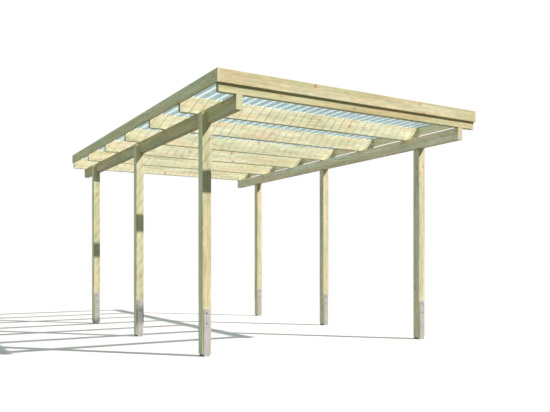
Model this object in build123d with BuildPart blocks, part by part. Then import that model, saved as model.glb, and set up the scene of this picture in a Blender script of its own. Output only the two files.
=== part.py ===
from build123d import *
import os
from math import atan2, tan

os.makedirs("parts", exist_ok=True)

# Open timber carport, in millimetres. +Z is up and the ground is at Z = 0. The front, where a vehicle
# drives in, faces -Y, and left and right are as seen from there. The origin is on the ground, midway
# between the sides and between the front of the roof and the rear drip edge of its sheets.

# Roof outline, over the fascia boards
roof_width = 3015
roof_length = 5030

# Height of the opening, from the ground to the undersides of the beams
clear_height = 2145

# Posts: square, in two rows of three, each with a notch for its beam
post_width = 90
side_overhang = 140
front_overhang = 615
rear_overhang = 580
tongue_thickness = 42
tongue_drop = 31

# Beams along the two rows of posts
beam_width = 60
beam_depth = 127

# Rafters across the beams
rafter_count = 7
rafter_width = 45
rafter_depth = 155

# Fascia boards round the front and the two sides
fascia_thickness = 18
fascia_height = 116
fascia_rise = 37

# Planed edges of all the timber
post_rounding = 4
timber_rounding = 3

# Post anchors: two plates on a cross plate that carries the post
anchor_width = 60
anchor_height = 435
anchor_plate = 5
anchor_corner = 6
post_lift = 20
anchor_play = 0.3

# Clear roof sheets with trapezoidal ribs from front to rear
sheet_count = 3
sheet_thickness = 1.4
rib_pitch = 101
rib_height = 18
rib_base = 45
rib_crown = 25
sheet_edge_gap = 5
sheet_drip = 30
lap_gap = 0.3

# Lines and levels that follow from the sizes above
front_y = -(roof_length + sheet_drip) / 2
rear_y = front_y + roof_length
inner_width = roof_width - 2 * fascia_thickness
beam_top = clear_height + beam_depth
rafter_top = beam_top + rafter_depth
fascia_top = rafter_top + fascia_rise
post_outer_x = roof_width / 2 - side_overhang
post_x = post_outer_x - post_width / 2
beam_x = post_outer_x - tongue_thickness - beam_width / 2
timber_front_y = front_y + fascia_thickness

front_post_y = front_y + front_overhang + post_width / 2
rear_post_y = rear_y - rear_overhang - post_width / 2
post_rows = {
    "front": front_post_y,
    "middle": (front_post_y + rear_post_y) / 2,
    "rear": rear_post_y,
}
sides = {"left": -1, "right": 1}


def save(part, name):
    """Label a finished piece and write it under its own name."""
    part.label = name
    export_step(part, f"parts/{name}.step")


# Posts: the inner side is cut away above the beam's seat, so that a tongue stands up outside the beam
for side, outward in sides.items():
    for row, y in post_rows.items():
        x = outward * post_x
        tongue_top = beam_top - tongue_drop
        notch_width = post_width - tongue_thickness
        with BuildPart() as post:
            with BuildSketch(Plane.XY.offset(post_lift)):
                with Locations((x, y)):
                    RectangleRounded(post_width, post_width, post_rounding)
            extrude(amount=tongue_top - post_lift)
            with BuildSketch(Plane.XY.offset(clear_height)):
                with Locations((x - outward * tongue_thickness / 2, y)):
                    Rectangle(notch_width, post_width)
            extrude(amount=tongue_top - clear_height, mode=Mode.SUBTRACT)
        save(post.part, f"{row}_{side}_post")

# Post anchors: an H seen from the side, with its cross plate under the end of the post
for side, outward in sides.items():
    for row, y in post_rows.items():
        socket = post_width + 2 * anchor_play
        socket_height = anchor_height - post_lift
        foot_gap = post_lift - anchor_plate
        with BuildPart() as anchor:
            with BuildSketch(Plane.YZ.offset(outward * post_x)):
                with Locations((y, anchor_height / 2)):
                    Rectangle(socket + 2 * anchor_plate, anchor_height)
                with Locations((y, post_lift + socket_height / 2)):
                    Rectangle(socket, socket_height, mode=Mode.SUBTRACT)
                with Locations((y, foot_gap / 2)):
                    Rectangle(socket, foot_gap, mode=Mode.SUBTRACT)
            extrude(amount=anchor_width / 2, both=True)
            top_corners = anchor.edges().filter_by(Axis.Y).group_by(Axis.Z)[-1]
            fillet(top_corners, radius=anchor_corner)
        save(anchor.part, f"{row}_{side}_anchor")

# Beams: they lie in the notches and run from the front rafter's face to the end of the roof
for side, outward in sides.items():
    with BuildPart() as beam:
        with BuildSketch(Plane.XZ.offset(-timber_front_y)):
            with Locations((outward * beam_x, clear_height + beam_depth / 2)):
                RectangleRounded(beam_width, beam_depth, timber_rounding)
        extrude(amount=-(rear_y - timber_front_y))
    save(beam.part, f"{side}_beam")

# Rafters: evenly spaced, from behind the front fascia to the end of the roof, and numbered from the front
rafter_spacing = (rear_y - timber_front_y - rafter_width) / (rafter_count - 1)
for index in range(rafter_count):
    rafter_y = timber_front_y + rafter_width / 2 + index * rafter_spacing
    with BuildPart() as rafter:
        with BuildSketch(Plane.YZ):
            with Locations((rafter_y, beam_top + rafter_depth / 2)):
                RectangleRounded(rafter_width, rafter_depth, timber_rounding)
        extrude(amount=inner_width / 2, both=True)
    save(rafter.part, f"rafter_{index + 1}")

# Fascia boards: the side boards run the full length, and the front board fits between them
fascia_z = fascia_top - fascia_height / 2
with BuildPart() as front_fascia:
    with BuildSketch(Plane.YZ):
        with Locations((front_y + fascia_thickness / 2, fascia_z)):
            RectangleRounded(fascia_thickness, fascia_height, timber_rounding)
    extrude(amount=inner_width / 2, both=True)
save(front_fascia.part, "front_fascia")

for side, outward in sides.items():
    with BuildPart() as side_fascia:
        with BuildSketch(Plane.XZ.offset(-front_y)):
            with Locations((outward * (inner_width + fascia_thickness) / 2, fascia_z)):
                RectangleRounded(fascia_thickness, fascia_height, timber_rounding)
        extrude(amount=-roof_length)
    save(side_fascia.part, f"{side}_fascia")

# Roof sheets. A surface that lies a distance "lift" outside the underside of a rib is parallel to it,
# so each face of the plain ribs and of the wider ribs that lap over a neighbour is one such surface.
flank_angle = atan2(2 * rib_height, rib_base - rib_crown)


def half_width(lift, z):
    """Half the width of a rib's surface at a height above the rafters."""
    return rib_base / 2 + lift * tan(flank_angle / 2) + (lift - z) / tan(flank_angle)


def rib_line(x, lift, left_z, right_z):
    """Corners of a rib's surface, whose flanks come down to the heights left_z and right_z."""
    crown_z = lift + rib_height
    return [
        (x - half_width(lift, left_z), left_z),
        (x - half_width(lift, crown_z), crown_z),
        (x + half_width(lift, crown_z), crown_z),
        (x + half_width(lift, right_z), right_z),
    ]


# Ribs are laid out from the middle of the roof, as many as have a crown on the sheets. The sheets are cut
# off at the fascia boards, which takes a part of the outermost ribs or of the flat strips outside them.
sheets_width = inner_width - 2 * sheet_edge_gap
rib_gaps = int((sheets_width - rib_crown) // rib_pitch)
rib_x = [(index - rib_gaps / 2) * rib_pitch for index in range(rib_gaps + 1)]
lap_ribs = [round(rib_gaps * index / sheet_count) for index in range(sheet_count + 1)]
lap_lift = sheet_thickness + lap_gap
strip_end = sheets_width / 2 + rib_pitch

for index in range(sheet_count):
    first = lap_ribs[index]
    last = lap_ribs[index + 1]
    underside = []
    upper_face = []
    if first == 0:
        underside.append((-strip_end, 0))
        upper_face.append((-strip_end, sheet_thickness))
    for rib in range(first, last + 1):
        x = rib_x[rib]
        if rib == first and rib > 0:
            underside += rib_line(x, 0, 0, 0)
            upper_face += rib_line(x, sheet_thickness, 0, sheet_thickness)
        elif rib == last and rib < rib_gaps:
            underside += rib_line(x, lap_lift, 0, lap_lift)
            upper_face += rib_line(x, lap_lift + sheet_thickness, sheet_thickness, lap_lift)
        else:
            underside += rib_line(x, 0, 0, 0)
            upper_face += rib_line(x, sheet_thickness, sheet_thickness, sheet_thickness)
    if last == rib_gaps:
        underside.append((strip_end, 0))
        upper_face.append((strip_end, sheet_thickness))
    outline = [(x, rafter_top + z) for x, z in underside + upper_face[::-1]]
    sheet_front_y = timber_front_y + sheet_edge_gap
    with BuildPart() as sheet:
        with BuildSketch(Plane.XZ.offset(-sheet_front_y)):
            with BuildLine():
                Polyline(*outline, close=True)
            make_face()
            with Locations((0, rafter_top)):
                Rectangle(sheets_width, sheets_width, mode=Mode.INTERSECT)
        extrude(amount=-(rear_y + sheet_drip - sheet_front_y))
    save(sheet.part, f"roof_sheet_{index + 1}")
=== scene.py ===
import math
import random

import bmesh
import bpy
from mathutils import Matrix, Vector


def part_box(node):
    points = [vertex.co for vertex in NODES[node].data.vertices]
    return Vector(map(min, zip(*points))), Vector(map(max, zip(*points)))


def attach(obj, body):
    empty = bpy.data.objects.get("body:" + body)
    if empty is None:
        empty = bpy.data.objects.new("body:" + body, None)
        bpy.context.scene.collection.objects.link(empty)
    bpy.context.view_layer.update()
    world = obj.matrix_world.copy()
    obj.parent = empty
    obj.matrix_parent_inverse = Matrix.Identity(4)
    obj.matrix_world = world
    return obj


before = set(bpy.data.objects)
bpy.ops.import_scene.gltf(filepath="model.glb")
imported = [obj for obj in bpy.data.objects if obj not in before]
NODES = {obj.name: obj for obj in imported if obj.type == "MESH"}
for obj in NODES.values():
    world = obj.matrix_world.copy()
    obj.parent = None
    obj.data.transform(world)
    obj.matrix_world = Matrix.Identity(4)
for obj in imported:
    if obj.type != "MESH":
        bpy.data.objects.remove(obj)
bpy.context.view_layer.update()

# The looks of an open timber carport with a clear roof. Everything is in metres in the row frame: +Z up, the
# ground at Z = 0, the front towards -Y, and left and right as seen from the front.
MM = 0.001
SIDES = {"left": -1, "right": 1}
ROWS = ("front", "middle", "rear")
RAFTERS = sorted(name for name in NODES if name.startswith("rafter_"))
SHEETS = sorted(name for name in NODES if name.startswith("roof_sheet_"))

# The photograph's camera. It is level, and its shift sets the horizon. Pixels are in the 550 by 412 frame.
PHOTO_WIDTH = 550
PHOTO_HEIGHT = 412
FOCAL_PIXELS = 642.5
HORIZON_PIXEL = 262.96
CAMERA_PLACE = (-3.777, -7.306, 0.858)
CAMERA_YAW = 30.537
SENSOR_WIDTH = 36.0

# The sun of the photograph, from the front right, as a direction towards it, and the light round it, which
# is stronger from the rear left than from the front right
SUN_DIRECTION = Vector((0.73, -0.77, 1.0))
SUN_STRENGTH = 5.0
SUN_COLOUR = (1.0, 0.92, 0.89)
SUN_DEGREES = 1.0
SKY_COLOUR = (0.76, 0.98, 0.97, 1.0)
SKY_STRENGTH = 0.66
SKY_LEAN = (-0.60, 0.68, -0.40)
LOWER_COLOUR = (0.17, 0.17, 0.16, 1.0)
HORIZON_BLEND = (-0.05, 0.25)
WHITE = (1.0, 1.0, 1.0, 1.0)


class Graph:
    """A node tree in which a formula reads as one line. Most methods return an output socket."""

    def __init__(self, tree):
        self.tree = tree

    def feed(self, socket, value):
        """Links a socket to the input, or sets the input to a plain value."""
        if isinstance(value, bpy.types.NodeSocket):
            self.tree.links.new(value, socket)
        else:
            socket.default_value = value

    def node(self, kind, inputs=None, **settings):
        made = self.tree.nodes.new("ShaderNode" + kind)
        for key, value in settings.items():
            setattr(made, key, value)
        for key, value in (inputs or {}).items():
            self.feed(made.inputs[key], value)
        return made

    def math(self, operation, *values, clamp=False):
        inputs = dict(enumerate(values))
        return self.node("Math", inputs, operation=operation, use_clamp=clamp).outputs[0]

    def vector(self, operation, *values):
        inputs = dict(enumerate(values))
        return self.node("VectorMath", inputs, operation=operation).outputs["Vector"]

    def dot(self, first, second):
        return self.node("VectorMath", {0: first, 1: second}, operation="DOT_PRODUCT").outputs["Value"]

    def length(self, vector):
        return self.node("VectorMath", {0: vector}, operation="LENGTH").outputs["Value"]

    def parts(self, vector):
        return self.node("SeparateXYZ", {0: vector}).outputs

    def joined(self, x, y, z):
        return self.node("CombineXYZ", {0: x, 1: y, 2: z}).outputs[0]

    def noise(self, vector, waves, detail=2.0, output="Fac"):
        """Smooth noise from 0 to 1, mostly near a half, with so many waves per metre along each axis."""
        scaled = self.vector("MULTIPLY", vector, waves)
        return self.node("TexNoise", {"Vector": scaled, "Scale": 1.0, "Detail": detail}).outputs[output]

    def ease(self, value, low, high, out_low=0.0, out_high=1.0):
        """A smooth step from out_low, where the value is low, to out_high, where it is high."""
        inputs = {"Value": value, "From Min": low, "From Max": high, "To Min": out_low, "To Max": out_high}
        return self.node("MapRange", inputs, interpolation_type="SMOOTHSTEP").outputs["Result"]

    def tint(self, factor, first, second, mode="MIX"):
        """The first colour, turned into the second, or multiplied by it, as far as the factor says."""
        made = self.node("Mix", data_type="RGBA", blend_type=mode)
        # The node has sockets for other kinds of value too. These are the ones for colours.
        for index, value in ((0, factor), (6, first), (7, second)):
            self.feed(made.inputs[index], value)
        return made.outputs[2]

    def mixed(self, factor, first, second):
        """The first shader, turned into the second as far as the factor says."""
        return self.node("MixShader", {0: factor, 1: first, 2: second}).outputs[0]

    def bump(self, height, relief):
        """The normal of a surface whose height goes from 0 to 1 over so many metres."""
        return self.node("Bump", {"Height": height, "Strength": 1.0, "Distance": relief}).outputs[0]


def colour(red, green, blue):
    """The linear values that shaders take, by the sRGB curve, for a colour as a screen shows it, 0 to 1."""
    values = (red, green, blue)
    linear = [c / 12.92 if c <= 0.04045 else ((c + 0.055) / 1.055) ** 2.4 for c in values]
    return (*linear, 1.0)


def bare_material(name):
    """A material without nodes, and the graph to make them in."""
    material = bpy.data.materials.new(name)
    material.use_nodes = True
    material.node_tree.nodes.clear()
    return material, Graph(material.node_tree)


def principled(name, **plain):
    """A material with a Principled shader, whose plain values are set on its own sockets."""
    material, graph = bare_material(name)
    shader = graph.node("BsdfPrincipled", plain)
    graph.node("OutputMaterial", {"Surface": shader.outputs[0]})
    return material, graph, shader


def dress(piece, material):
    """Gives the piece this material alone."""
    piece.data.materials.clear()
    piece.data.materials.append(material)


def added(name, data):
    """A new object in the scene, with this mesh, lamp or camera."""
    made = bpy.data.objects.new(name, data)
    bpy.context.collection.objects.link(made)
    return made


def mesh_object(name, mesh):
    """A new object with the mesh that was being built."""
    data = bpy.data.meshes.new(name)
    mesh.to_mesh(data)
    mesh.free()
    return added(name, data)


# Timber: planed pine, pressure treated. It has yearly rings about a pith, knots that run outward from the
# pith, and long streaks along the grain in cream, green and pink.
EARLYWOOD = colour(0.87, 0.85, 0.67)
LATEWOOD = colour(0.77, 0.69, 0.48)
PALE_WOOD = colour(0.93, 0.92, 0.77)
GREEN_WOOD = colour(0.74, 0.81, 0.59)
PINK_WOOD = colour(0.93, 0.79, 0.64)
WARM_WOOD = colour(0.91, 0.82, 0.64)
KNOT_WOOD = colour(0.77, 0.67, 0.50)
KNOT_RIM = colour(0.65, 0.54, 0.38)
KNOT_HALO = colour(0.85, 0.73, 0.54)
PALE_END = colour(0.91, 0.92, 0.76)
CREAM_END = colour(0.82, 0.82, 0.66)
# The rafters' ends are darker: painted shade, for the shade on their end grain below the side fascias.
SHADED_END = colour(0.55, 0.57, 0.40)

# The trunk: how many times per metre it bends, along the grain and across it, and how far
WANDER_WAVES = (0.8, 4.0, 4.0)
WANDER_REACH = (0.0, 30 * MM, 30 * MM)
WOBBLE_WAVES = (5.0, 26.0, 26.0)
WOBBLE_REACH = (0.0, 4 * MM, 4 * MM)
NOISE_MIDDLE = (0.5, 0.5, 0.5)

# Knots. The girth of a branch grows outward from the pith. A cell's random value from 0 to 1 gives its size.
KNOTS_PER_METRE = 1.5
KNOT_SPREAD = 1.1
KNOT_SLOPE = 0.25
KNOT_START = 2.5 * MM
KNOT_TAPER = 0.11
KNOT_LARGEST = 12 * MM
KNOT_SMALLEST = 0.1 * MM
KNOT_SIZES = (0.35, 0.95)
# Where the parts of a knot begin and end, in girths from its middle. The halo and the swollen rings are
# measured with less weight along the grain.
KNOT_EDGE = (0.85, 1.05)
RIM_RISE = (0.70, 0.98)
RIM_FALL = (1.02, 1.35)
FLOW_STRETCH = 0.42
HALO_FALL = (0.6, 3.6)
SWELL_FALL = (0.0, 3.2)
SWELL_GIRTHS = 1.3
HALO_SHARE = 0.5
HEART_SHARE = 0.5
RIM_SHARE = 0.7

# Rings: how wide, how uneven over the years, and the part of a year in which the dark latewood comes and goes
RING_SPACING = 3.4 * MM
KNOT_RING_SPACING = 1.3 * MM
YEARS_WAVES = 70.0
YEARS_SHIFT = 1.6
YEARS_NOISE = (0.35, 0.65)
LATE_STRENGTH = (0.40, 0.85)
LATE_RISE = (0.30, 0.90)
LATE_FALL = (0.92, 1.0)
BRANCH_LATE_RISE = (0.2, 0.9)

NO_SHIFT = (0.0, 0.0, 0.0)
TIMBER_NOISES = {
    # Name: waves per metre along the grain and across it, detail, and a shift that sets it apart
    "pale": (0.9, 13.0, 3.0, NO_SHIFT),
    "tan": (1.2, 30.0, 3.0, NO_SHIFT),
    "clouds": (2.2, 22.0, 3.0, (6.2, 4.1, 9.7)),
    "green": (1.1, 10.0, 2.0, (3.1, 7.7, 1.9)),
    "pink": (1.6, 14.0, 2.0, (8.3, 2.2, 5.4)),
    "fibres": (14.0, 900.0, 3.0, NO_SHIFT),
    "mottle": (14.0, 60.0, 3.0, NO_SHIFT),
    "streaks": (2.5, 110.0, 2.0, NO_SHIFT),
}
TIMBER_TINTS = (
    # Noise, the values from which it begins and is full, its strength or the input that gives it, and colour
    ("pale", 0.46, 0.60, 0.8, PALE_WOOD),
    ("tan", 0.50, 0.66, 0.45, LATEWOOD),
    ("clouds", 0.42, 0.66, 0.55, WARM_WOOD),
    ("green", 0.44, 0.66, "Green", GREEN_WOOD),
    ("pink", 0.52, 0.68, "Pink", PINK_WOOD),
)
TIMBER_SHADES = (
    # Noise, its values where the wood is darkest and palest, and what they multiply the wood by
    ("fibres", 0.30, 0.70, 0.95, 1.03),
    ("mottle", 0.32, 0.68, 0.89, 1.06),
    ("streaks", 0.30, 0.70, 0.95, 1.03),
    ("clouds", 0.34, 0.66, 0.92, 1.06),
)

# End grain, and the surface, with what latewood, end grain and knots add to its roughness and height
END_FACING = (0.6, 0.95)
END_SHARE = 0.7
TIMBER_SPECULAR = 0.35
TIMBER_ROUGHNESS = 0.66
LATE_ROUGHNESS = -0.10
END_ROUGHNESS = 0.14
KNOT_ROUGHNESS = -0.16
LATE_HEIGHT = 0.35
FIBRE_HEIGHT = 0.35
KNOT_HEIGHT = 0.3
WOOD_RELIEF = 0.4 * MM

# How far off each board's own part of the noises is, along each axis. How far its pith is from the middle, in
# widths of the board, and how far outside its face.
SEED_RANGE = 40
POST_PITH_SHIFT = 0.2
BOARD_PITH_SHIFT = 0.3
BOARD_PITH_AWAY = (12 * MM, 45 * MM)


def knot_field(g, seeded, section):
    """Where the knots are: each cell round the pith has one branch, with its own height, way and size.

    Returns the distance from the middle of the nearest branch, its girth there, and the distance in girths
    for what flows round it.
    """
    spread = g.vector("MULTIPLY", g.vector("NORMALIZE", section), (0.0, KNOT_SPREAD, KNOT_SPREAD))
    height = g.math("MULTIPLY", g.parts(seeded)[0], KNOTS_PER_METRE)
    place = g.vector("ADD", spread, g.joined(height, 0.0, 0.0))
    cell = g.node("TexVoronoi", {"Vector": place, "Scale": 1.0}).outputs
    knot_height, knot_across, knot_depth = g.parts(cell["Position"])
    knot_way = g.vector("NORMALIZE", g.joined(0.0, knot_across, knot_depth))
    reach = g.dot(section, knot_way)
    sideways = g.parts(g.vector("CROSS_PRODUCT", section, knot_way))[0]
    lift = g.math("DIVIDE", g.math("SUBTRACT", height, knot_height), KNOTS_PER_METRE)
    lift = g.math("SUBTRACT", lift, g.math("MULTIPLY", reach, KNOT_SLOPE))
    size = g.ease(g.parts(cell["Color"])[0], *KNOT_SIZES)
    size = g.math("MULTIPLY", size, g.math("GREATER_THAN", reach, 0.0))
    girth = g.math("MULTIPLY_ADD", reach, KNOT_TAPER, KNOT_START)
    girth = g.math("MULTIPLY", g.math("MINIMUM", girth, KNOT_LARGEST), size)
    girth = g.math("MAXIMUM", girth, KNOT_SMALLEST)
    from_knot = g.length(g.joined(lift, sideways, 0.0))
    flow = g.length(g.joined(g.math("MULTIPLY", lift, FLOW_STRETCH), sideways, 0.0))
    return from_knot, girth, g.math("DIVIDE", flow, girth)


def timber_group():
    """The look of timber, from a position in metres from the pith, with X along the grain."""
    tree = bpy.data.node_groups.new("timber", "ShaderNodeTree")
    sockets = {
        "INPUT": {
            "Position": "Vector",
            "Seed": "Vector",
            "Green": "Float",
            "Pink": "Float",
            "Cast": "Color",
            "End": "Float",
            "End Colour": "Color",
        },
        "OUTPUT": {"Colour": "Color", "Roughness": "Float", "Height": "Float"},
    }
    for way, names in sockets.items():
        for name, kind in names.items():
            tree.interface.new_socket(name, in_out=way, socket_type="NodeSocket" + kind)
    g = Graph(tree)
    given = tree.nodes.new("NodeGroupInput").outputs
    result = tree.nodes.new("NodeGroupOutput").inputs
    seeded = g.vector("ADD", given["Position"], given["Seed"])

    # The trunk isn't quite straight or round
    bent = given["Position"]
    for waves, bend in ((WANDER_WAVES, WANDER_REACH), (WOBBLE_WAVES, WOBBLE_REACH)):
        sway = g.vector("SUBTRACT", g.noise(seeded, waves, output="Color"), NOISE_MIDDLE)
        bent = g.vector("ADD", bent, g.vector("MULTIPLY", sway, bend))
    _, across, depth = g.parts(bent)
    section = g.joined(0.0, across, depth)
    radius = g.length(section)

    from_knot, girth, flow = knot_field(g, seeded, section)
    nearness = g.math("DIVIDE", from_knot, girth)
    knot = g.ease(nearness, *KNOT_EDGE, 1.0, 0.0)
    rim = g.math("MULTIPLY", g.ease(nearness, *RIM_RISE), g.ease(nearness, *RIM_FALL, 1.0, 0.0))
    halo = g.ease(flow, *HALO_FALL, 1.0, 0.0)

    # Rings: they swell round a knot, and inside it they go round the branch
    swell = g.math("MULTIPLY", g.ease(flow, *SWELL_FALL, SWELL_GIRTHS, 0.0), girth)
    ring = g.math("DIVIDE", g.math("ADD", radius, swell), RING_SPACING)
    years = {"W": g.math("MULTIPLY", radius, YEARS_WAVES), "Scale": 1.0}
    uneven = g.node("TexNoise", years, noise_dimensions="1D").outputs["Fac"]
    in_year = g.math("FRACT", g.math("MULTIPLY_ADD", uneven, YEARS_SHIFT, ring))
    late = g.math("MULTIPLY", g.ease(in_year, *LATE_RISE), g.ease(in_year, *LATE_FALL, 1.0, 0.0))
    late = g.math("MULTIPLY", late, g.ease(uneven, *YEARS_NOISE, *LATE_STRENGTH))
    branch_year = g.math("FRACT", g.math("DIVIDE", from_knot, KNOT_RING_SPACING))
    branch_late = g.ease(branch_year, *BRANCH_LATE_RISE)

    # Long streaks, the green of the treatment, and fine fibres
    fields = {}
    for name, (along, over, detail, shift) in TIMBER_NOISES.items():
        fields[name] = g.noise(g.vector("ADD", seeded, shift), (along, over, over), detail)
    wood = g.tint(late, EARLYWOOD, LATEWOOD)
    for name, begin, full, share, tone in TIMBER_TINTS:
        strength = given[share] if isinstance(share, str) else share
        wood = g.tint(g.math("MULTIPLY", g.ease(fields[name], begin, full), strength), wood, tone)
    wood = g.tint(g.math("MULTIPLY", halo, HALO_SHARE), wood, KNOT_HALO)
    heart = g.tint(g.math("MULTIPLY", branch_late, HEART_SHARE), KNOT_WOOD, KNOT_RIM)
    wood = g.tint(knot, wood, heart)
    wood = g.tint(g.math("MULTIPLY", rim, RIM_SHARE), wood, KNOT_RIM)
    shade = 1.0
    for name, dark_at, pale_at, darkest, palest in TIMBER_SHADES:
        shade = g.math("MULTIPLY", g.ease(fields[name], dark_at, pale_at, darkest, palest), shade)
    wood = g.tint(1.0, wood, g.joined(shade, shade, shade), "MULTIPLY")
    # Painted light: each board's multiplier darkens or pales it for the shade or bounce light that falls on
    # it, besides its own tone
    wood = g.tint(1.0, wood, given["Cast"], "MULTIPLY")
    wood = g.tint(g.math("MULTIPLY", given["End"], END_SHARE), wood, given["End Colour"])
    g.feed(result["Colour"], wood)

    rough = g.math("MULTIPLY_ADD", late, LATE_ROUGHNESS, TIMBER_ROUGHNESS)
    rough = g.math("MULTIPLY_ADD", given["End"], END_ROUGHNESS, rough)
    g.feed(result["Roughness"], g.math("MULTIPLY_ADD", knot, KNOT_ROUGHNESS, rough, clamp=True))
    relief = g.math("MULTIPLY_ADD", late, LATE_HEIGHT, g.math("MULTIPLY", fields["fibres"], FIBRE_HEIGHT))
    g.feed(result["Height"], g.math("MULTIPLY_ADD", knot, KNOT_HEIGHT, relief))
    return tree


def timber(name, grain, pith, green, pink, tone_and_painted_light, end_colour, group):
    """The timber of one board. Grain is the axis that it runs along, from 0 for X to 2 for Z."""
    material, g, shader = principled(name + "_timber", **{"Specular IOR Level": TIMBER_SPECULAR})
    chance = random.Random(name)
    order = [grain, (grain + 1) % 3, (grain + 2) % 3]
    coordinate = g.node("TexCoord").outputs
    place = g.parts(g.vector("SUBTRACT", coordinate["Object"], tuple(pith)))
    facing = g.parts(coordinate["Normal"])[grain]
    look = g.tree.nodes.new("ShaderNodeGroup")
    look.node_tree = group
    inputs = {
        "Position": g.joined(*(place[axis] for axis in order)),
        "Seed": tuple(chance.uniform(-SEED_RANGE, SEED_RANGE) for _ in range(3)),
        "Green": green,
        "Pink": pink,
        "Cast": (*tone_and_painted_light, 1.0),
        "End": g.ease(g.math("ABSOLUTE", facing), *END_FACING),
        "End Colour": end_colour,
    }
    for key, value in inputs.items():
        g.feed(look.inputs[key], value)
    g.feed(shader.inputs["Base Color"], look.outputs["Colour"])
    g.feed(shader.inputs["Roughness"], look.outputs["Roughness"])
    g.feed(shader.inputs["Normal"], g.bump(look.outputs["Height"], WOOD_RELIEF))
    return material


def cut_from(name, grain, thickness_axis):
    """A pith beside a board, as in one sawn from the side of a log, or inside it for a square post."""
    low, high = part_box(name)
    size = high - low
    chance = random.Random(name + " log")
    pith = (low + high) / 2
    across = 3 - grain - thickness_axis
    if abs(size[thickness_axis] - size[across]) < MM:
        pith[thickness_axis] += chance.uniform(-POST_PITH_SHIFT, POST_PITH_SHIFT) * size[thickness_axis]
        pith[across] += chance.uniform(-POST_PITH_SHIFT, POST_PITH_SHIFT) * size[across]
    else:
        away = size[thickness_axis] / 2 + chance.uniform(*BOARD_PITH_AWAY)
        pith[thickness_axis] += away * chance.choice((-1, 1))
        pith[across] += chance.uniform(-BOARD_PITH_SHIFT, BOARD_PITH_SHIFT) * size[across]
    return pith


TIMBER_KINDS = (
    # Part of the name, grain axis, thickness axis, green and pink streaks, tone and painted light, and colour
    # of the ends. The first that is part of a node's name counts.
    # The tone and painted light multiplies the wood. It is partly a board's own tone and partly painted
    # light. Painted shade darkens the left beam, the left fascia and the first rafter, where it stands for
    # the shade under the front fascia. Painted bounce light pales and blues the right beam, the right fascia,
    # the right posts and the other rafters.
    ("left_post", 2, 0, 0.25, 0.25, (1.03, 1.07, 1.10), PALE_END),
    ("right_post", 2, 0, 0.30, 0.25, (1.08, 1.12, 1.28), PALE_END),
    ("left_beam", 1, 0, 0.60, 0.30, (0.72, 0.72, 0.63), PALE_END),
    ("right_beam", 1, 0, 0.15, 0.50, (1.27, 1.27, 1.50), CREAM_END),
    ("rafter_1", 0, 1, 0.25, 0.30, (0.89, 0.92, 0.82), SHADED_END),
    ("rafter", 0, 1, 0.20, 0.35, (1.02, 1.07, 1.19), SHADED_END),
    ("front_fascia", 0, 1, 0.25, 0.40, (0.97, 0.99, 0.99), PALE_END),
    ("left_fascia", 1, 0, 0.45, 0.50, (0.89, 0.92, 0.87), PALE_END),
    ("right_fascia", 1, 0, 0.40, 0.50, (1.15, 1.17, 1.34), PALE_END),
)
timber_look = timber_group()
for name in sorted(NODES):
    kinds = [kind for kind in TIMBER_KINDS if kind[0] in name]
    if kinds:
        _, grain, thickness_axis, green, pink, tone_and_painted_light, end_colour = kinds[0]
        pith = cut_from(name, grain, thickness_axis)
        dress(NODES[name], timber(name, grain, pith, green, pink, tone_and_painted_light, end_colour, timber_look))

# Galvanised steel: a dull zinc coat with a crystal pattern. The screws have a yellow one.
ZINC_PALE = colour(0.78, 0.77, 0.765)
ZINC_DARK = colour(0.66, 0.66, 0.665)
BOLT_PALE = colour(0.60, 0.60, 0.60)
BOLT_DARK = colour(0.47, 0.47, 0.48)
SCREW_PALE = colour(0.82, 0.77, 0.60)
SCREW_DARK = colour(0.68, 0.62, 0.44)
ZINC_METALLIC = 0.55
ZINC_ROUGHNESS = (0.42, 0.60)
ZINC_RELIEF = 0.3 * MM
SPANGLES_PER_METRE = 130.0
SPANGLE_SHARE = 0.45
CLOUD_SHARE = 0.55
CLOUD_WAVES = (16.0, 16.0, 9.0)
CLOUD_DETAIL = 4.0
CLOUD_NOISE = (0.3, 0.7)


def zinc(name, pale, dark):
    material, g, shader = principled(name, Metallic=ZINC_METALLIC)
    place = g.node("TexCoord").outputs["Object"]
    crystals = g.node("TexVoronoi", {"Vector": place, "Scale": SPANGLES_PER_METRE}).outputs["Color"]
    clouds = g.noise(place, CLOUD_WAVES, CLOUD_DETAIL)
    cloudy = g.ease(clouds, *CLOUD_NOISE, 0.0, CLOUD_SHARE)
    glint = g.math("MULTIPLY_ADD", g.parts(crystals)[0], SPANGLE_SHARE, cloudy)
    g.feed(shader.inputs["Base Color"], g.tint(glint, pale, dark))
    g.feed(shader.inputs["Roughness"], g.ease(glint, 0.0, 1.0, *ZINC_ROUGHNESS))
    g.feed(shader.inputs["Normal"], g.bump(clouds, ZINC_RELIEF))
    return material


zinc_coat = zinc("zinc_coat", ZINC_PALE, ZINC_DARK)
bolt_zinc = zinc("bolt_zinc", BOLT_PALE, BOLT_DARK)
screw_zinc = zinc("screw_zinc", SCREW_PALE, SCREW_DARK)
for name in NODES:
    if name.endswith("_anchor"):
        dress(NODES[name], zinc_coat)

# The ribs of the roof sheets, as in the part's source. They are numbered from the left, and the laps are four
# and a half ribs from the middle.
RIB_COUNT = 30
RIB_PITCH = 101 * MM
RIB_CROWN = 25 * MM
RIB_BASE = 45 * MM
RIB_HEIGHT = 18 * MM
FLANK_MIDDLE = (RIB_BASE + RIB_CROWN) / 4
FLANK_HALF = (RIB_BASE - RIB_CROWN) / 4
SHEET_THICKNESS = 1.4 * MM
SHEET_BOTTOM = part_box(SHEETS[0])[0].z
LAP_MIDDLE = 4.5 * RIB_PITCH
LAP_LIFT = 1.7 * MM
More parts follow.
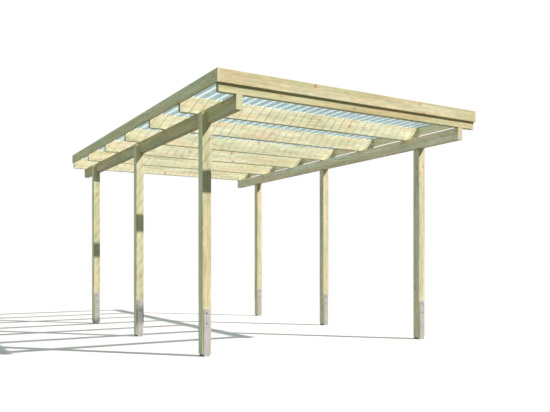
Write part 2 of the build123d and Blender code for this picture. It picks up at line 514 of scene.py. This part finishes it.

# Clear sheet: a pale plastic that lets the sun through. The middles of its flats have a milky white that the
# lamps light,
# so they look like white stripes: partly a milky look, partly painted light for the bright sky the sheet
# shows there. The crowns of the ribs have less of it. The flanks are painted for a sun on the right: the
# sunny flanks on the right of each rib are tinted darker and throw some back, and the shady flanks on their
# left are whiter and glow. Each rib has a thin shadow from its shady flank.
# A tint is what one face lets through, and every sheet has two.
STRIPE_TINT = colour(0.87, 0.935, 0.955)
CLEAR_TINT = colour(0.69, 0.785, 0.82)
LAP_TINT = colour(0.86, 0.91, 0.925)
SUNNY_TINT = colour(0.75, 0.83, 0.86)
SHADY_TINT = colour(0.87, 0.93, 0.95)
SHEET_WHITE = colour(0.95, 0.98, 0.99)
WHITE_STRIPE = 0.35
WHITE_REST = 0.05
WHITE_SUNNY = 0.22
WHITE_SHADY = 0.32
GLOW = 0.6
GLOW_SUNNY = 0.15
STRIPE_HALF_WIDTH = 19 * MM
STRIPE_EDGE = 9 * MM
CROWN_SHARE = 0.55
FLANK_MARGIN = MM
SHADOW_EDGE = 6.5 * MM
SUN_PASSED = (0.97, 0.985, 0.99)
SHEET_IOR = 1.5
SHEET_ROUGHNESS = 0.08
RIPPLE_WAVES = (9.0, 2.0, 9.0)
RIPPLE_RELIEF = 1.5 * MM


def clear_sheet(name):
    material, g = bare_material(name)
    place = g.node("TexCoord").outputs["Object"]
    across = g.parts(place)[0]

    # Where on a rib or flat a point lies
    from_rib = g.math("SUBTRACT", g.math("FRACT", g.math("DIVIDE", across, RIB_PITCH)), 0.5)
    from_rib = g.math("MULTIPLY", from_rib, RIB_PITCH)
    beside = g.math("ABSOLUTE", from_rib)
    from_flat = g.math("SUBTRACT", RIB_PITCH / 2, beside)
    stripe_start, stripe_end = STRIPE_HALF_WIDTH - STRIPE_EDGE, STRIPE_HALF_WIDTH + STRIPE_EDGE
    stripe = g.ease(from_flat, stripe_start, stripe_end, 1.0, 0.0)
    crown = g.math("LESS_THAN", beside, RIB_CROWN / 2)
    stripe = g.math("MULTIPLY_ADD", crown, CROWN_SHARE, stripe)
    from_flank = g.math("ABSOLUTE", g.math("SUBTRACT", beside, FLANK_MIDDLE))
    flank = g.math("LESS_THAN", from_flank, FLANK_HALF + FLANK_MARGIN)
    shady = g.math("MULTIPLY", flank, g.math("LESS_THAN", from_rib, 0.0))
    sunny = g.math("SUBTRACT", flank, shady)
    from_lap = g.math("ABSOLUTE", g.math("SUBTRACT", g.math("ABSOLUTE", across), LAP_MIDDLE))
    lap = g.math("LESS_THAN", from_lap, RIB_BASE / 2 + SHADOW_EDGE / 2)

    # What is seen: a tinted view through, some white in it, and a gloss on the outside
    normal = g.bump(g.noise(place, RIPPLE_WAVES), RIPPLE_RELIEF)
    # Painted light: the flanks on the side away from the sun are tinted paler than those facing it
    clear = g.tint(shady, g.tint(sunny, CLEAR_TINT, SUNNY_TINT), SHADY_TINT)
    clear = g.tint(lap, g.tint(stripe, clear, STRIPE_TINT), LAP_TINT)
    clear = g.node("BsdfTransparent", {"Color": clear}).outputs[0]
    lit = g.node("BsdfDiffuse", {"Color": SHEET_WHITE, "Normal": normal}).outputs[0]
    glow = g.node("BsdfTranslucent", {"Color": SHEET_WHITE, "Normal": normal}).outputs[0]
    milky = g.mixed(g.math("MULTIPLY_ADD", sunny, GLOW_SUNNY - GLOW, GLOW), lit, glow)
    # Painted light: white stripes down the middles of the flats, and whiter flanks on the side away from the
    # sun
    white = g.math("MULTIPLY_ADD", stripe, WHITE_STRIPE - WHITE_REST, WHITE_REST)
    white = g.math("MULTIPLY_ADD", sunny, WHITE_SUNNY - WHITE_REST, white)
    white = g.math("MULTIPLY_ADD", shady, WHITE_SHADY - WHITE_REST, white)
    body = g.mixed(white, clear, milky)
    outside = g.math("SUBTRACT", 1.0, g.node("NewGeometry").outputs["Backfacing"])
    mirrored = g.node("Fresnel", {"IOR": SHEET_IOR, "Normal": normal}).outputs[0]
    gloss = {"Color": SHEET_WHITE, "Roughness": SHEET_ROUGHNESS, "Normal": normal}
    gloss = g.node("BsdfGlossy", gloss).outputs[0]
    seen = g.mixed(g.math("MULTIPLY", mirrored, outside), body, gloss)

    # What the sun throws through: all but a thin line at each shady flank
    from_shady = g.math("ABSOLUTE", g.math("ADD", from_rib, FLANK_MIDDLE))
    passed = g.ease(from_shady, FLANK_HALF, FLANK_HALF + SHADOW_EDGE)
    passed = g.joined(*(g.math("MULTIPLY", passed, share) for share in SUN_PASSED))
    passed = g.node("BsdfTransparent", {"Color": passed}).outputs[0]
    shadow = g.node("LightPath").outputs["Is Shadow Ray"]
    g.node("OutputMaterial", {"Surface": g.mixed(shadow, seen, passed)})
    return material


clear_plastic = clear_sheet("clear_plastic")
for name in SHEETS:
    dress(NODES[name], clear_plastic)


# Fixings, each kind as one joined mesh
LOBES = 6
LOBE_DEPTH = 0.18
SHARP_ANGLE = math.radians(35)


def lathe(mesh, profile, corners, place, lobed=()):
    """Turns a profile of (radius, height) points about the Z axis of the matrix place, with so many corners.

    The rings whose numbers are in lobed are star shaped, as the recess of a screw head is.
    """
    rings = []
    for number, (radius, height) in enumerate(profile):
        if radius == 0:
            rings.append([mesh.verts.new(place @ Vector((0, 0, height)))])
            continue
        ring = []
        for index in range(corners):
            angle = 2 * math.pi * index / corners
            reach = radius * (1 + LOBE_DEPTH * math.cos(LOBES * angle)) if number in lobed else radius
            corner = Vector((reach * math.cos(angle), reach * math.sin(angle), height))
            ring.append(mesh.verts.new(place @ corner))
        rings.append(ring)
    for lower, upper in zip(rings, rings[1:]):
        for index in range(corners):
            after = (index + 1) % corners
            loop = [lower[index % len(lower)], lower[after % len(lower)]]
            loop += [upper[after % len(upper)], upper[index % len(upper)]]
            mesh.faces.new(list(dict.fromkeys(loop)))


def towards(place, way):
    """The matrix that puts Z along a direction, at a place."""
    turn = Vector(way).to_track_quat("Z", "Y").to_matrix().to_4x4()
    return Matrix.Translation(Vector(place)) @ turn


def finish_piece(mesh, name, material):
    """Turns the mesh being built into a piece that goes with the carport."""
    bmesh.ops.recalc_face_normals(mesh, faces=mesh.faces)
    for face in mesh.faces:
        face.smooth = True
    for edge in mesh.edges:
        edge.smooth = edge.calc_face_angle(math.pi) < SHARP_ANGLE
    piece = mesh_object(name, mesh)
    dress(piece, material)
    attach(piece, "root")


# Bolts of the post anchors: on each plate, two with a washer and a head in front, or a nut behind
BOLT_HEIGHTS = (0.305, 0.400)
BOLT_RADIUS = 4 * MM
HEAD_RADIUS = 6.5 * MM
HEAD_HEIGHT = 5.3 * MM
NUT_HEIGHT = 6.5 * MM
CHAMFER_HEIGHT = 0.9 * MM
CHAMFERED_RADIUS = 0.86 * HEAD_RADIUS
HOLE_RADIUS = 0.9 * BOLT_RADIUS
HEXAGON_CORNERS = 6
WASHER_RADIUS = 7.5 * MM
WASHER_THICKNESS = 1.6 * MM
WASHER_CORNERS = 20
WASHER_PROFILE = (
    (0, 0),
    (WASHER_RADIUS, 0),
    (WASHER_RADIUS, WASHER_THICKNESS),
    (BOLT_RADIUS, WASHER_THICKNESS),
)
THREAD_START = WASHER_THICKNESS + NUT_HEIGHT - MM
THREAD_END = 13 * MM
THREAD_PITCH = 1.25 * MM
THREAD_CREST = 0.3
THREAD_ROOT = 0.8
ROOT_RADIUS = 0.85 * BOLT_RADIUS
TIP_RADIUS = 0.8 * BOLT_RADIUS
THREAD_CORNERS = 16


def hexagon_profile(height):
    """A bolt head or nut on its washer, whose upper corners are cut away."""
    top = WASHER_THICKNESS + height
    return [
        (HOLE_RADIUS, WASHER_THICKNESS),
        (HEAD_RADIUS, WASHER_THICKNESS),
        (HEAD_RADIUS, top - CHAMFER_HEIGHT),
        (CHAMFERED_RADIUS, top),
        (0, top),
    ]


def thread_profile():
    """The end of a bolt, with a groove for each turn of its thread."""
    profile = [(BOLT_RADIUS, THREAD_START)]
    for turn in range(int((THREAD_END - THREAD_START) / THREAD_PITCH)):
        start = THREAD_START + turn * THREAD_PITCH
        profile.append((BOLT_RADIUS, start + THREAD_CREST * THREAD_PITCH))
        profile.append((ROOT_RADIUS, start + THREAD_ROOT * THREAD_PITCH))
    return profile + [(TIP_RADIUS, THREAD_END), (0, THREAD_END)]


bolts = bmesh.new()
for row in ROWS:
    for side in SIDES:
        low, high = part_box(f"{row}_{side}_anchor")
        middle = (low + high) / 2
        for bolt_height in BOLT_HEIGHTS:
            head = towards((middle.x, low.y, bolt_height), (0, -1, 0))
            tail = towards((middle.x, high.y, bolt_height), (0, 1, 0))
            for place, height in ((head, HEAD_HEIGHT), (tail, NUT_HEIGHT)):
                lathe(bolts, WASHER_PROFILE, WASHER_CORNERS, place)
                lathe(bolts, hexagon_profile(height), HEXAGON_CORNERS, place)
            lathe(bolts, thread_profile(), THREAD_CORNERS, tail)
finish_piece(bolts, "anchor_bolts", bolt_zinc)

# Screws: two through the side fascia into each rafter's end, pairs along the front fascia into the first
# rafter, and two through each post's tongue into its beam. Their heads stand a little proud.
SCREW_RADIUS = 3.6 * MM
SCREW_HEAD = 0.9 * MM
SCREW_CORNERS = 24
RECESS_RADIUS = 1.6 * MM
RECESS_FLOOR = 0.2 * MM
RECESS_RINGS = (1, 2)
SCREW_PROFILE = (
    (0, RECESS_FLOOR),
    (0.8 * RECESS_RADIUS, RECESS_FLOOR),
    (RECESS_RADIUS, SCREW_HEAD),
    (0.85 * SCREW_RADIUS, SCREW_HEAD),
    (SCREW_RADIUS, 0.6 * SCREW_HEAD),
    (SCREW_RADIUS, 0),
)
FASCIA_SCREW_HEIGHTS = (2.368, 2.409)
FRONT_SCREW_PAIRS = range(-2, 3)
FRONT_SCREW_SPACING = 0.7
FRONT_SCREW_LEANS = (-12 * MM, 12 * MM)
TONGUE_SCREW_HEIGHTS = (2.170, 2.212)
TONGUE_SCREW_OFFSETS = (-20 * MM, 20 * MM)

screw_places = []
for side, outward in SIDES.items():
    fascia_low, fascia_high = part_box(f"{side}_fascia")
    outer_x = fascia_high.x if outward > 0 else fascia_low.x
    for name in RAFTERS:
        low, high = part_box(name)
        for height in FASCIA_SCREW_HEIGHTS:
            screw_places.append(((outer_x, (low.y + high.y) / 2, height), (outward, 0, 0)))
    for row in ROWS:
        low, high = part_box(f"{row}_{side}_post")
        outer_x = high.x if outward > 0 else low.x
        for height, offset in zip(TONGUE_SCREW_HEIGHTS, TONGUE_SCREW_OFFSETS):
            screw_places.append(((outer_x, (low.y + high.y) / 2 + offset, height), (outward, 0, 0)))
front_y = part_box("front_fascia")[0].y
for step in FRONT_SCREW_PAIRS:
    for height, lean in zip(FASCIA_SCREW_HEIGHTS, FRONT_SCREW_LEANS):
        screw_places.append(((step * FRONT_SCREW_SPACING + lean, front_y, height), (0, -1, 0)))
screws = bmesh.new()
for place, way in screw_places:
    lathe(screws, SCREW_PROFILE, SCREW_CORNERS, towards(place, way), lobed=RECESS_RINGS)
finish_piece(screws, "timber_screws", screw_zinc)

# Screws of the roof sheets: on every third rib over each rafter, a plastic cap on the crown and a spacer in
# the rib below it
FIXED_RIBS = range(1, RIB_COUNT, 3)
CAP_RADIUS = 11.5 * MM
CAP_RIM = 1.2 * MM
CAP_NECK = 6.5 * MM
CAP_HEIGHT = 6.5 * MM
CAP_CORNERS = 20
CAP_PROFILE = (
    (CAP_RADIUS, 0),
    (CAP_RADIUS, CAP_RIM),
    (0.9 * CAP_RADIUS, 1.6 * CAP_RIM),
    (1.15 * CAP_NECK, 2.1 * CAP_RIM),
    (CAP_NECK, 2.6 * CAP_RIM),
    (CAP_NECK, 0.75 * CAP_HEIGHT),
    (0.8 * CAP_NECK, 0.95 * CAP_HEIGHT),
    (0.4 * CAP_NECK, CAP_HEIGHT),
    (0, CAP_HEIGHT),
)
SPACER_LENGTH = 24 * MM
SPACER_PLAY = 0.4 * MM
SPACER_RINGS = (
    # Half the width across the rib, half the length along it, and the height
    (RIB_BASE / 2 - 3 * SPACER_PLAY, SPACER_LENGTH / 2, 0),
    (RIB_BASE / 2 - 4 * SPACER_PLAY, SPACER_LENGTH / 2, 0.1 * RIB_HEIGHT),
    (RIB_CROWN / 2 - SPACER_PLAY, SPACER_LENGTH / 2 - 2 * MM, 0.9 * RIB_HEIGHT),
    (RIB_CROWN / 2 - 3 * SPACER_PLAY, SPACER_LENGTH / 2 - 4 * MM, RIB_HEIGHT - SPACER_PLAY),
)
SQUARE = ((-1, -1), (1, -1), (1, 1), (-1, 1))
CAP_PALE = colour(0.84, 0.87, 0.87)
CAP_DARK = colour(0.74, 0.78, 0.78)
CAP_ROUGHNESS = 0.38
CAP_WAVES = (60.0, 60.0, 60.0)
CAP_DETAIL = 3.0
CAP_RELIEF = 0.1 * MM


def cap_plastic():
    material, g, shader = principled("cap_plastic", Roughness=CAP_ROUGHNESS)
    cloud = g.noise(g.node("TexCoord").outputs["Object"], CAP_WAVES, CAP_DETAIL)
    g.feed(shader.inputs["Base Color"], g.tint(cloud, CAP_PALE, CAP_DARK))
    g.feed(shader.inputs["Normal"], g.bump(cloud, CAP_RELIEF))
    return material


def spacer(mesh, x, y):
    """A block of a rib's shape, whose ends lean in like its flanks."""
    rings = []
    for half_x, half_y, height in SPACER_RINGS:
        corners = [(x + i * half_x, y + j * half_y, SHEET_BOTTOM + height) for i, j in SQUARE]
        rings.append([mesh.verts.new(corner) for corner in corners])
    for lower, upper in zip(rings, rings[1:]):
        for index in range(len(SQUARE)):
            after = (index + 1) % len(SQUARE)
            mesh.faces.new((lower[index], lower[after], upper[after], upper[index]))
    mesh.faces.new(rings[-1])
    mesh.faces.new(rings[0][::-1])


caps = bmesh.new()
spacers = bmesh.new()
for name in RAFTERS:
    low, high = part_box(name)
    y = (low.y + high.y) / 2
    for number in FIXED_RIBS:
        x = (number - (RIB_COUNT - 1) / 2) * RIB_PITCH
        on_lap = abs(abs(x) - LAP_MIDDLE) < RIB_PITCH / 2
        crown = SHEET_BOTTOM + RIB_HEIGHT + SHEET_THICKNESS + (LAP_LIFT if on_lap else 0)
        lathe(caps, CAP_PROFILE, CAP_CORNERS, towards((x, y, crown), (0, 0, 1)))
        spacer(spacers, x, y)
plastic = cap_plastic()
finish_piece(caps, "sheet_screw_caps", plastic)
finish_piece(spacers, "sheet_spacers", plastic)

# Stage: a pale floor that fades out into a white surround, and throws less light back than it shows
FLOOR_COLOUR = colour(0.91, 0.875, 0.87)
FLOOR_BOUNCE = (0.15, 0.15, 0.14, 1.0)
FLOOR_RADIUS = 30.0
FLOOR_CORNERS = 64
FLOOR_FADE = (5.0, 11.0)


def seen_by_eye(graph):
    """1 for rays that show a surface to the camera or in a mirror, and 0 for those that light the carport."""
    path = graph.node("LightPath").outputs
    reflected = graph.math("MAXIMUM", path["Is Glossy Ray"], path["Is Transmission Ray"])
    return graph.math("MAXIMUM", path["Is Camera Ray"], reflected)


floor_mesh = bmesh.new()
bmesh.ops.create_circle(floor_mesh, cap_ends=True, segments=FLOOR_CORNERS, radius=FLOOR_RADIUS)
floor = mesh_object("floor", floor_mesh)
floor_material, g = bare_material("floor")
distance = g.length(g.node("TexCoord").outputs["Object"])
tone = g.tint(seen_by_eye(g), FLOOR_BOUNCE, FLOOR_COLOUR)
matte = g.node("BsdfDiffuse", {"Color": tone}).outputs[0]
clear = g.node("BsdfTransparent").outputs[0]
g.node("OutputMaterial", {"Surface": g.mixed(g.ease(distance, *FLOOR_FADE), matte, clear)})
dress(floor, floor_material)

# Light: a soft sun, and a pale sky that the camera sees as white
sun_data = bpy.data.lights.new("sun", "SUN")
sun_data.energy = SUN_STRENGTH
sun_data.angle = math.radians(SUN_DEGREES)
sun_data.color = SUN_COLOUR
sun = added("sun", sun_data)
sun.rotation_euler = SUN_DIRECTION.to_track_quat("Z", "Y").to_euler()

world = bpy.data.worlds.new("world")
world.use_nodes = True
world.node_tree.nodes.clear()
bpy.context.scene.world = world
g = Graph(world.node_tree)
way = g.node("TexCoord").outputs["Generated"]
tone = g.tint(g.ease(g.parts(way)[2], *HORIZON_BLEND), LOWER_COLOUR, SKY_COLOUR)
strength = g.math("MULTIPLY", g.math("ADD", g.dot(way, SKY_LEAN), 1.0), SKY_STRENGTH)
sky = g.node("Background", {"Color": tone, "Strength": strength}).outputs[0]
backdrop = g.node("Background", {"Color": WHITE, "Strength": 1.0}).outputs[0]
g.node("OutputWorld", {"Surface": g.mixed(seen_by_eye(g), sky, backdrop)})

# Camera
camera_data = bpy.data.cameras.new("camera")
camera_data.sensor_width = SENSOR_WIDTH
camera_data.lens = FOCAL_PIXELS / PHOTO_WIDTH * SENSOR_WIDTH
camera_data.shift_y = (HORIZON_PIXEL - PHOTO_HEIGHT / 2) / PHOTO_WIDTH
camera = added("camera", camera_data)
camera.location = CAMERA_PLACE
camera.rotation_euler = (math.radians(90), 0, -math.radians(CAMERA_YAW))
bpy.context.scene.camera = camera
bpy.context.scene.view_settings.view_transform = "Standard"
